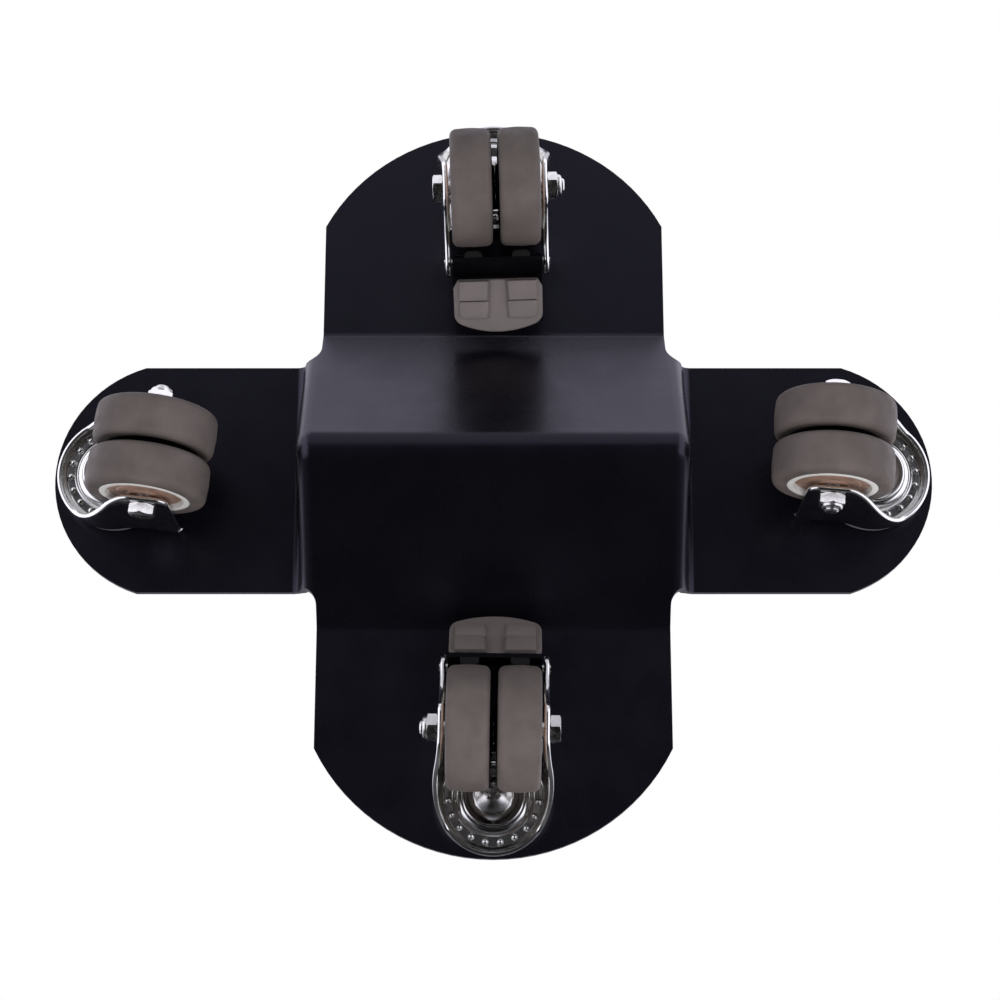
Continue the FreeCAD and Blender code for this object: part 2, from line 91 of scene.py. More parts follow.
def turn_outline(bm, outline, steps=72, ring=True):
    """A half outline of radius and height turned full circle about Z."""
    verts = [bm.verts.new((radius, 0, height)) for radius, height in outline]
    edges = [bm.edges.new(pair) for pair in zip(verts, verts[1:])]
    if ring:
        edges.append(bm.edges.new((verts[-1], verts[0])))
    bmesh.ops.spin(bm, geom=verts + edges, cent=(0, 0, 0), axis=(0, 0, 1), dvec=(0, 0, 0),
                   angle=math.tau, steps=steps, use_merge=True, use_duplicate=False)
    bmesh.ops.remove_doubles(bm, verts=bm.verts[:], dist=0.0005)
    return bm


def plate(bm, outline, low, high, axis="Z"):
    """A flat outline given a thickness; axis Z keeps it in plan, axis Y stands it on edge."""
    if axis == "Z":
        verts = [bm.verts.new((x, y, low)) for x, y in outline]
        rise = (0, 0, high - low)
    else:
        verts = [bm.verts.new((x, low, z)) for x, z in outline]
        rise = (0, high - low, 0)
    face = bm.faces.new(verts)
    grown = bmesh.ops.extrude_face_region(bm, geom=[face])
    moved = [item for item in grown["geom"] if isinstance(item, bmesh.types.BMVert)]
    bmesh.ops.translate(bm, verts=moved, vec=rise)


def arc(centre, radius, start, end, count):
    """Points along an arc, its angles in degrees."""
    turns = [math.radians(start + (end - start) * i / count) for i in range(count + 1)]
    return [(centre[0] + radius * math.cos(turn), centre[1] + radius * math.sin(turn)) for turn in turns]


def swept(start, leave, arrive, end, count):
    """Points of a curve with two handles, without its first and last."""
    points = []
    for i in range(1, count):
        t = i / count
        shares = ((1 - t) ** 3, 3 * t * (1 - t) ** 2, 3 * t * t * (1 - t), t ** 3)
        points.append(tuple(sum(share * point[axis] for share, point in zip(shares, (start, leave, arrive, end)))
                            for axis in (0, 1)))
    return points


def arc_through(start, end, radius, side, count):
    """Points of the short arc from start to end, its centre to the left (+1) or right (-1) of the way."""
    first, last = Vector(start), Vector(end)
    chord = last - first
    height = math.sqrt(max(radius ** 2 - (chord.length / 2) ** 2, 0))
    centre = (first + last) / 2 + Vector((-chord.y, chord.x)).normalized() * height * side
    begin, turn = first - centre, (last - centre).angle_signed(first - centre)
    points = []
    for i in range(count + 1):
        point = begin.copy()
        point.rotate(Matrix.Rotation(turn * i / count, 2))
        points.append(tuple(centre + point))
    return points


def soften(bm, width, segments=2, over=30):
    """Bevel on every edge whose faces meet at more than an angle."""
    bmesh.ops.remove_doubles(bm, verts=bm.verts[:], dist=0.001)
    bmesh.ops.recalc_face_normals(bm, faces=bm.faces[:])
    edges = [edge for edge in bm.edges
             if edge.is_manifold and edge.calc_face_angle(0) > math.radians(over)]
    bmesh.ops.bevel(bm, geom=edges, offset=width, offset_type="OFFSET", segments=segments,
                    profile=0.5, affect="EDGES", material=-1, clamp_overlap=True)


def added(bm, other):
    """The other mesh joined into bm and freed."""
    mesh = bpy.data.meshes.new("joined")
    other.to_mesh(mesh)
    other.free()
    bm.from_mesh(mesh)
    bpy.data.meshes.remove(mesh)
    return bm


def piece(name, bm, place, body, finish, nodes=(), sharp=35):
    """A mesh in millimetres made one finished piece, riding on its body and standing for its nodes."""
    bmesh.ops.remove_doubles(bm, verts=bm.verts[:], dist=0.0005)
    bmesh.ops.recalc_face_normals(bm, faces=bm.faces[:])
    for face in bm.faces:
        face.smooth = True
    for edge in bm.edges:
        edge.smooth = edge.calc_face_angle(0) < math.radians(sharp)
    bmesh.ops.transform(bm, matrix=place, verts=bm.verts[:])
    mesh = bpy.data.meshes.new(name)
    bm.to_mesh(mesh)
    bm.free()
    mesh.materials.append(finish)
    made = bpy.data.objects.new(name, mesh)
    bpy.context.scene.collection.objects.link(made)
    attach(made, body)
    if nodes:
        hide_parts(*nodes)
    return made


# Material helpers

NOISE_LOW, NOISE_HIGH = 0.3, 0.7


def new_material(name, colour, roughness, metallic=0.0, specular=0.5):
    """A principled material, with its plain values set on the shader itself."""
    material = bpy.data.materials.new(name)
    material.use_nodes = True
    shader = material.node_tree.nodes["Principled BSDF"]
    shader.inputs["Base Color"].default_value = (*colour, 1)
    shader.inputs["Roughness"].default_value = roughness
    shader.inputs["Metallic"].default_value = metallic
    shader.inputs["Specular IOR Level"].default_value = specular
    material.diffuse_color = (*colour, 1)
    return material, shader


def step(tree, start, end, low, high, kind="SMOOTHSTEP"):
    """Node that goes from low to high while its value goes from start to end."""
    node = tree.nodes.new("ShaderNodeMapRange")
    node.interpolation_type = kind
    for name, value in (("From Min", start), ("From Max", end), ("To Min", low), ("To Max", high)):
        node.inputs[name].default_value = value
    return node


def blend(tree, kind):
    """Node that mixes two colours in full."""
    node = tree.nodes.new("ShaderNodeMix")
    node.data_type = "RGBA"
    node.blend_type = kind
    node.inputs["Factor"].default_value = 1.0
    return node


def glow(tree, strength):
    """Node that shines white with a strength."""
    node = tree.nodes.new("ShaderNodeBackground")
    node.inputs["Color"].default_value = (1, 1, 1, 1)
    node.inputs["Strength"].default_value = strength
    return node


def noise(material, scale, detail=4.0):
    """Noise on object coordinates; the scale is in waves to the metre."""
    tree = material.node_tree
    coordinates = tree.nodes.new("ShaderNodeTexCoord")
    texture = tree.nodes.new("ShaderNodeTexNoise")
    texture.inputs["Scale"].default_value = scale
    texture.inputs["Detail"].default_value = detail
    tree.links.new(coordinates.outputs["Object"], texture.inputs["Vector"])
    return texture


def vary_colour(material, shader, texture, dark, light):
    """Base colour drifting between two tones."""
    tree = material.node_tree
    ramp = tree.nodes.new("ShaderNodeValToRGB")
    stops = ((NOISE_LOW, dark), (NOISE_HIGH, light))
    for element, (position, colour) in zip(ramp.color_ramp.elements, stops):
        element.position = position
        element.color = (*colour, 1)
    tree.links.new(texture.outputs["Fac"], ramp.inputs["Fac"])
    tree.links.new(ramp.outputs["Color"], shader.inputs["Base Color"])


def vary_roughness(material, shader, texture, low, high):
    """Roughness drifting between two values."""
    tree = material.node_tree
    spread = step(tree, NOISE_LOW, NOISE_HIGH, low, high, "LINEAR")
    tree.links.new(texture.outputs["Fac"], spread.inputs["Value"])
    tree.links.new(spread.outputs["Result"], shader.inputs["Roughness"])


def roughen(material, shader, texture, strength, depth):
    """Fine relief; the depth is in metres."""
    tree = material.node_tree
    bump = tree.nodes.new("ShaderNodeBump")
    bump.inputs["Strength"].default_value = strength
    bump.inputs["Distance"].default_value = depth
    tree.links.new(texture.outputs["Fac"], bump.inputs["Height"])
    tree.links.new(bump.outputs["Normal"], shader.inputs["Normal"])


def shade(colour, share):
    """A colour made darker or lighter by a share."""
    return tuple(min(channel * share, 1.0) for channel in colour[:3])


def black_paint():
    """Satin powder coat with a fine orange peel."""
    colour = bpy.context.scene.dolly_finish.paint
    material, shader = new_material("black_paint", colour, 0.27)
    shader.inputs["Specular Tint"].default_value = (0.80, 0.78, 1.0, 1)
    vary_colour(material, shader, noise(material, 14), shade(colour, 0.8), shade(colour, 1.25))
    vary_roughness(material, shader, noise(material, 60), 0.25, 0.31)
    roughen(material, shader, noise(material, 1500, 2), 0.12, 0.0002)
    return material


def lever_paint_and_gap_shade():
    """Flat black paint of the brake levers, and painted shade on the covers between twin wheels."""
    colour = bpy.context.scene.dolly_finish.paint
    material, shader = new_material("lever_paint_and_gap_shade", shade(colour, 0.6), 0.55, specular=0.08)
    vary_colour(material, shader, noise(material, 90), shade(colour, 0.5), shade(colour, 0.8))
    roughen(material, shader, noise(material, 1500, 2), 0.15, 0.0002)
    return material


def bright_plating():
    """Bright zinc plating on stamped steel."""
    colour = bpy.context.scene.dolly_finish.plating
    material, shader = new_material("bright_plating", colour, 0.14, metallic=1.0)
    vary_colour(material, shader, noise(material, 60), shade(colour, 0.88), colour)
    vary_roughness(material, shader, noise(material, 220), 0.10, 0.20)
    roughen(material, shader, noise(material, 420, 3), 0.05, 0.0003)
    return material


def zinc_plating():
    """Duller plating of bolts, nuts and pins."""
    colour = bpy.context.scene.dolly_finish.zinc
    material, shader = new_material("zinc_plating", colour, 0.26, metallic=1.0)
    vary_colour(material, shader, noise(material, 300), shade(colour, 0.8), colour)
    vary_roughness(material, shader, noise(material, 500), 0.2, 0.34)
    roughen(material, shader, noise(material, 1400, 3), 0.08, 0.0002)
    return material


def tread_rubber():
    """Soft taupe tread with a faint bloom."""
    colour = bpy.context.scene.dolly_finish.tread
    material, shader = new_material("tread_rubber", colour, 0.58, specular=0.22)
    vary_colour(material, shader, noise(material, 90, 6), shade(colour, 0.84), shade(colour, 1.16))
    vary_roughness(material, shader, noise(material, 160), 0.42, 0.68)
    roughen(material, shader, noise(material, 2600, 3), 0.1, 0.0001)
    return material


def core_plastic():
    """White moulded hub."""
    colour = bpy.context.scene.dolly_finish.core
    material, shader = new_material("core_plastic", colour, 0.42)
    vary_colour(material, shader, noise(material, 130), shade(colour, 0.94), colour)
    roughen(material, shader, noise(material, 1800, 2), 0.06, 0.0001)
    return material


def disc_bronze():
    """Brown sheet cap over the bearing."""
    colour = bpy.context.scene.dolly_finish.disc
    material, shader = new_material("disc_bronze", colour, 0.4, metallic=0.35)
    vary_colour(material, shader, noise(material, 260), shade(colour, 0.75), shade(colour, 1.15))
    vary_roughness(material, shader, noise(material, 400), 0.34, 0.5)
    return material


def pedal_plastic():
    """Taupe moulded pedal."""
    colour = bpy.context.scene.dolly_finish.pedal
    material, shader = new_material("pedal_plastic", colour, 0.5, specular=0.25)
    vary_colour(material, shader, noise(material, 110, 5), shade(colour, 0.92), shade(colour, 1.08))
    vary_roughness(material, shader, noise(material, 200), 0.42, 0.58)
    roughen(material, shader, noise(material, 2400, 3), 0.1, 0.0001)
    return material


def shoe_rubber():
    """Dark friction block."""
    colour = bpy.context.scene.dolly_finish.shoe
    material, shader = new_material("shoe_rubber", colour, 0.7, specular=0.15)
    vary_colour(material, shader, noise(material, 300), shade(colour, 0.85), shade(colour, 1.1))
    roughen(material, shader, noise(material, 2200, 3), 0.15, 0.0001)
    return material


def finish(name):
    """The finish of that name, made the first time that it is asked for."""
    makers = {
        "black_paint": black_paint,
        "lever_paint_and_gap_shade": lever_paint_and_gap_shade,
        "bright_plating": bright_plating,
        "zinc_plating": zinc_plating,
        "tread_rubber": tread_rubber,
        "core_plastic": core_plastic,
        "disc_bronze": disc_bronze,
        "pedal_plastic": pedal_plastic,
        "shoe_rubber": shoe_rubber,
    }
    return bpy.data.materials.get(name) or makers[name]()


def refinish(node, name):
    """A CAD node that keeps its shape gets its finish."""
    for slot in frame["nodes"][node].material_slots:
        slot.material = finish(name)


# Settings

class DollyFinish(bpy.types.PropertyGroup):
    """Colours of the finishes."""
    paint: FloatVectorProperty(name="Paint", description="Powder coat of the cross and the levers",
                               subtype="COLOR", size=3, min=0, max=1, default=(0.0026, 0.0025, 0.0042))
    plating: FloatVectorProperty(name="Plating", description="Bright plating of the forks",
                                 subtype="COLOR", size=3, min=0, max=1, default=(0.90, 0.90, 0.86))
    zinc: FloatVectorProperty(name="Zinc", description="Plating of bolts, nuts and pins",
                              subtype="COLOR", size=3, min=0, max=1, default=(0.84, 0.83, 0.79))
    tread: FloatVectorProperty(name="Tread", description="Soft tread of the wheels",
                               subtype="COLOR", size=3, min=0, max=1, default=(0.127, 0.106, 0.102))
    core: FloatVectorProperty(name="Core", description="Hub of the wheels",
                              subtype="COLOR", size=3, min=0, max=1, default=(0.82, 0.80, 0.78))
    disc: FloatVectorProperty(name="Disc", description="Cap over the bearing",
                              subtype="COLOR", size=3, min=0, max=1, default=(0.44, 0.28, 0.22))
    pedal: FloatVectorProperty(name="Pedal", description="Moulded brake pedal",
                               subtype="COLOR", size=3, min=0, max=1, default=(0.170, 0.145, 0.144))
    shoe: FloatVectorProperty(name="Shoe", description="Friction block of the brake",
                              subtype="COLOR", size=3, min=0, max=1, default=(0.010, 0.0095, 0.010))
    floor: FloatVectorProperty(name="Floor", description="Pale studio floor",
                               subtype="COLOR", size=3, min=0, max=1, default=(0.86, 0.86, 0.86))


class DollyShape(bpy.types.PropertyGroup):
    """Sizes of the details, in millimetres."""
    wheel_radius: FloatProperty(name="Wheel Radius", description="Radius over the tread", default=25.0, min=1)
    wheel_width: FloatProperty(name="Wheel Width", description="Width of one wheel", default=17.2, min=1)
    wheel_spacing: FloatProperty(name="Wheel Spacing", description="Between the middles of twin wheels",
                                 default=20.2, min=1)
    core_radius: FloatProperty(name="Core Radius", description="Where the tread meets the core",
                               default=18.5, min=1)
    tread_round: FloatProperty(name="Tread Rounding", description="Radius of the tread's shoulders",
                               default=3.0, min=0)
    ring_radius: FloatProperty(name="Ring Radius", description="Radius over the fork's ring", default=24.2, min=1)
    leg_side: FloatProperty(name="Leg Side", description="Half the width over the fork's legs",
                            default=22.0, min=1)
    leg_foot: FloatProperty(name="Leg Foot", description="How far the legs reach below the axle",
                            default=6.5, min=4)
    leg_back: FloatProperty(name="Leg Back", description="How far the legs reach behind the swivel axis",
                            default=31.6, min=25)
    steel: FloatProperty(name="Fork Steel", description="Thickness of the fork's sheet", default=2.2, min=0.1)
    balls: IntProperty(name="Balls", description="Balls in the groove of the fork's ring", default=19, min=0)


# Pieces

class DOLLY_OT_stage(bpy.types.Operator):
    """Floor, world, lamps and camera"""
    bl_idname = "dolly.stage"
    bl_label = "Stage"

    def execute(self, context):
        scene = context.scene
        scene.view_settings.view_transform = "Standard"
        self.make_floor(scene)
        self.make_world(scene)
        self.make_lamps(scene)
        self.make_camera(scene)
        return {"FINISHED"}

    def make_floor(self, scene):
        """Pale floor that takes shadows, clear from below so that the underside can be seen through it."""
        half_width = 4.0
        bm = bmesh.new()
        bmesh.ops.create_grid(bm, x_segments=1, y_segments=1, size=half_width)
        mesh = bpy.data.meshes.new("floor")
        bm.to_mesh(mesh)
        bm.free()
        material = bpy.data.materials.new("studio_floor")
        material.use_nodes = True
        tree = material.node_tree
        shader = tree.nodes["Principled BSDF"]
        shader.inputs["Base Color"].default_value = (*scene.dolly_finish.floor, 1)
        shader.inputs["Roughness"].default_value = 0.9
        shader.inputs["Specular IOR Level"].default_value = 0.0
        side = tree.nodes.new("ShaderNodeNewGeometry")
        clear = tree.nodes.new("ShaderNodeBsdfTransparent")
        mix = tree.nodes.new("ShaderNodeMixShader")
        tree.links.new(side.outputs["Backfacing"], mix.inputs["Fac"])
        tree.links.new(shader.outputs["BSDF"], mix.inputs[1])
        tree.links.new(clear.outputs["BSDF"], mix.inputs[2])
        tree.links.new(mix.outputs["Shader"], tree.nodes["Material Output"].inputs["Surface"])
        mesh.materials.append(material)
        floor = bpy.data.objects.new("floor", mesh)
        scene.collection.objects.link(floor)
        floor.visible_diffuse = False
        floor.visible_glossy = False
        floor.visible_transmission = False
        floor.visible_shadow = False

    def make_world(self, scene):
        """White to the camera; as light, a studio bright at the horizon and dim overhead and underneath."""
        world = bpy.data.worlds.new("studio")
        world.use_nodes = True
        scene.world = world
        tree = world.node_tree
        direction = tree.nodes.new("ShaderNodeTexCoord")
        split = tree.nodes.new("ShaderNodeSeparateXYZ")
        height = step(tree, -1, 1, 0, 1, "LINEAR")
        ramp = tree.nodes.new("ShaderNodeValToRGB")
        levels = ((0.0, 0.02), (0.12, 0.03), (0.27, 0.08), (0.40, 0.60), (0.50, 0.92),
                  (0.62, 0.8), (0.78, 0.35), (1.0, 0.25))
        while len(ramp.color_ramp.elements) < len(levels):
            ramp.color_ramp.elements.new(0.5)
        for element, (position, value) in zip(ramp.color_ramp.elements, levels):
            element.position = position
            element.color = (value, value, value, 1)
        across = tree.nodes.new("ShaderNodeMath")
        across.operation = "ABSOLUTE"
        sides = step(tree, 0.34, 0.56, 0, 0.9)
        far = step(tree, -0.27, -0.5, 0, 0.38)
        near = step(tree, 0.2, 0.55, 1, 0.08)
        with_sides, with_far = blend(tree, "LIGHTEN"), blend(tree, "LIGHTEN")
        with_near, cool = blend(tree, "MULTIPLY"), blend(tree, "MULTIPLY")
        cool.inputs["B"].default_value = (0.88, 0.87, 1.0, 1)
        glossy, soft, white = glow(tree, 1.7), glow(tree, 0.28), glow(tree, 1.0)
        path = tree.nodes.new("ShaderNodeLightPath")
        by_gloss = tree.nodes.new("ShaderNodeMixShader")
        by_camera = tree.nodes.new("ShaderNodeMixShader")
        for output, target in (
            (direction.outputs["Generated"], split.inputs["Vector"]),
            (split.outputs["Z"], height.inputs["Value"]),
            (height.outputs["Result"], ramp.inputs["Fac"]),
            (split.outputs["X"], across.inputs[0]),
            (across.outputs["Value"], sides.inputs["Value"]),
            (split.outputs["Y"], far.inputs["Value"]),
            (split.outputs["Y"], near.inputs["Value"]),
            (ramp.outputs["Color"], with_sides.inputs["A"]),
            (sides.outputs["Result"], with_sides.inputs["B"]),
            (with_sides.outputs["Result"], with_far.inputs["A"]),
            (far.outputs["Result"], with_far.inputs["B"]),
            (with_far.outputs["Result"], with_near.inputs["A"]),
            (near.outputs["Result"], with_near.inputs["B"]),
            (with_near.outputs["Result"], cool.inputs["A"]),
            (cool.outputs["Result"], glossy.inputs["Color"]),
            (path.outputs["Is Glossy Ray"], by_gloss.inputs["Fac"]),
            (soft.outputs["Background"], by_gloss.inputs[1]),
            (glossy.outputs["Background"], by_gloss.inputs[2]),
            (path.outputs["Is Camera Ray"], by_camera.inputs["Fac"]),
            (by_gloss.outputs["Shader"], by_camera.inputs[1]),
            (white.outputs["Background"], by_camera.inputs[2]),
            (by_camera.outputs["Shader"], tree.nodes["World Output"].inputs["Surface"]),
        ):
            tree.links.new(output, target)

    def make_lamps(self, scene):
        """Soft lamps under and over the object; its gloss comes from the world."""
        lamps = (
            ("under_left", (-0.9, 0.1, -0.9), 0.7, 3.9),
            ("under_right", (0.9, 0.1, -0.9), 0.7, 4.4),
            ("under_near", (0.1, 0.9, -0.8), 0.8, 7.6),
            ("over_left", (-0.8, -0.8, 1.3), 0.9, 22.0),
            ("over_right", (1.0, 0.5, 1.2), 0.9, 16.0),
        )
        for name, point, size, power in lamps:
            light = bpy.data.lights.new(name, "AREA")
            light.size = size
            light.energy = power
            lamp = bpy.data.objects.new(name, light)
            lamp.location = point
            lamp.rotation_euler = (-Vector(point)).to_track_quat("-Z", "Y").to_euler()
            lamp.visible_glossy = False
            scene.collection.objects.link(lamp)

    def make_camera(self, scene):
        """The photograph's view, from under the floor looking up at the underside."""
        aim, distance = Vector((0.00273, 0.00948, 0.068)), 0.9465
        away = Vector((0, 0.2811, -0.9597))
        up = Vector((0, -0.9597, -0.2811))
        lens = bpy.data.cameras.new("camera")
        lens.sensor_width = 36
        lens.lens = 80.1
        camera = bpy.data.objects.new("camera", lens)
        turn = Matrix((up.cross(away), up, away)).transposed()
        camera.location = aim + away * distance
        camera.rotation_euler = turn.to_euler()
        scene.collection.objects.link(camera)
        scene.camera = camera


class DOLLY_OT_cross(bpy.types.Operator):
    """Pressed steel cross, and the races under its arms"""
    bl_idname = "dolly.cross"
    bl_label = "Cross"

    def execute(self, context):
        bm = bmesh.new()
        bm.from_mesh(frame["nodes"]["cross_pan"].data)
        bmesh.ops.remove_doubles(bm, verts=bm.verts[:], dist=0.00001)
        bmesh.ops.scale(bm, vec=(1 / MM,) * 3, verts=bm.verts[:])
        sheet = piece("cross_sheet", bm, Matrix.Scale(MM, 4), "cross", finish("black_paint"),
                      ["cross_pan"], sharp=28)
        weighted = sheet.modifiers.new("weighted", "WEIGHTED_NORMAL")
        weighted.keep_sharp = True
        refinish("swivel_races", "bright_plating")
        return {"FINISHED"}


class DOLLY_OT_king_screws(bpy.types.Operator):
    """Screws, dished keepers and nuts on the swivel axes"""
    bl_idname = "dolly.king_screws"
    bl_label = "King Screws"

    def execute(self, context):
        for caster in CASTERS:
            place = caster_place(caster)
            piece(caster + "_king_screw", self.screw(), place, "cross",
                  finish("zinc_plating"), ["king_screws"])
            piece(caster + "_keeper", self.keeper(), place, "cross",
                  finish("bright_plating"), ["king_keepers"])
            piece(caster + "_king_nut", self.nut(), place, "cross",
                  finish("zinc_plating"), ["king_nuts"])
        return {"FINISHED"}

    def screw(self):
        """Dome head with a cross recess, and a threaded shank through the arm."""
        shank, middle = 4.0, -14.9
        bar_size, bar_taper = (11.0, 3.2, 5.2), (0.3, 0.45, 1)
        bm = bmesh.new()
        dome = arc((0, -4.85), 10.0, -90, -49, 10)
        turn_outline(bm, dome + [(7.5, -11.7), (7.2, -11.4), (shank, -11.4), (shank, 11.6), (3.0, 12.9),
                                 (0, 12.9)], 48, ring=False)
        cutter = bmesh.new()
        for turn in (35, 125):
            bar = bmesh.ops.create_cube(cutter, size=1)["verts"]
            bmesh.ops.scale(cutter, vec=bar_size, verts=bar)
            bmesh.ops.translate(cutter, vec=(0, 0, middle), verts=bar)
            deep = [vert for vert in bar if vert.co.z > middle]
            bmesh.ops.scale(cutter, vec=bar_taper, verts=deep)
            bmesh.ops.rotate(cutter, cent=(0, 0, 0), matrix=Matrix.Rotation(math.radians(turn), 3, "Z"),
                             verts=bar)
        return carved(bm, cutter)

    def keeper(self):
        """Dished washer with a rolled rim."""
        bm = bmesh.new()
        turn_outline(bm, [(9.9, -3.0), (9.9, -9.3), (12.7, -9.3), (13.1, -9.7), (12.9, -10.4), (12.2, -10.7),
                          (11.4, -10.4), (10.6, -10.0), (8.2, -9.9), (7.9, -10.1), (7.7, -11.35), (4.1, -11.35),
                          (4.1, -3.0)], 72)
        soften(bm, 0.2, 2, 40)
        return bm

    def nut(self):
        """Hexagon nut on its washer, over the arm."""
        bore, washer, under, over = 4.1, 8.95, 3.0, 4.5
        bm = turn_outline(bmesh.new(), [(bore, under), (washer, under), (washer, over), (bore, over)], 48)
        soften(bm, 0.25, 2)
        return added(bm, hex_nut(15.0, over, 11.0, bore))


def hex_nut(size, low, high, bore):
    """Hexagon with chamfered corners and a bore, standing on Z."""
    flat, chamfer = size * 0.48, size * 0.05
    bm = bmesh.new()
    corner = size / 2 / math.cos(math.radians(30))
    made = bmesh.ops.create_cone(bm, cap_ends=True, cap_tris=False, segments=6, radius1=corner,
                                 radius2=corner, depth=high - low)
    bmesh.ops.translate(bm, vec=(0, 0, (low + high) / 2), verts=made["verts"])
    cone = bmesh.new()
    turn_outline(cone, [(bore, low), (flat, low), (corner, low + chamfer), (corner, high - chamfer),
                        (flat, high), (bore, high)], 48)
    return carved(bm, cone, "INTERSECT")


def carved(bm, cutter, operation="DIFFERENCE"):
    """A mesh cut by another with an exact boolean."""
    objects = []
    for name, source in (("work", bm), ("tool", cutter)):
        bmesh.ops.recalc_face_normals(source, faces=source.faces[:])
        mesh = bpy.data.meshes.new(name)
        source.to_mesh(mesh)
        source.free()
        thing = bpy.data.objects.new(name, mesh)
        bpy.context.scene.collection.objects.link(thing)
        objects.append(thing)
    work, tool = objects
    boolean = work.modifiers.new("cut", "BOOLEAN")
    boolean.operation = operation
    boolean.solver = "EXACT"
    boolean.use_self = True
    boolean.object = tool
    bpy.context.view_layer.update()
    result = bmesh.new()
    result.from_mesh(work.evaluated_get(bpy.context.evaluated_depsgraph_get()).to_mesh())
    for thing in objects:
        mesh = thing.data
        bpy.data.objects.remove(thing)
        bpy.data.meshes.remove(mesh)
    return result


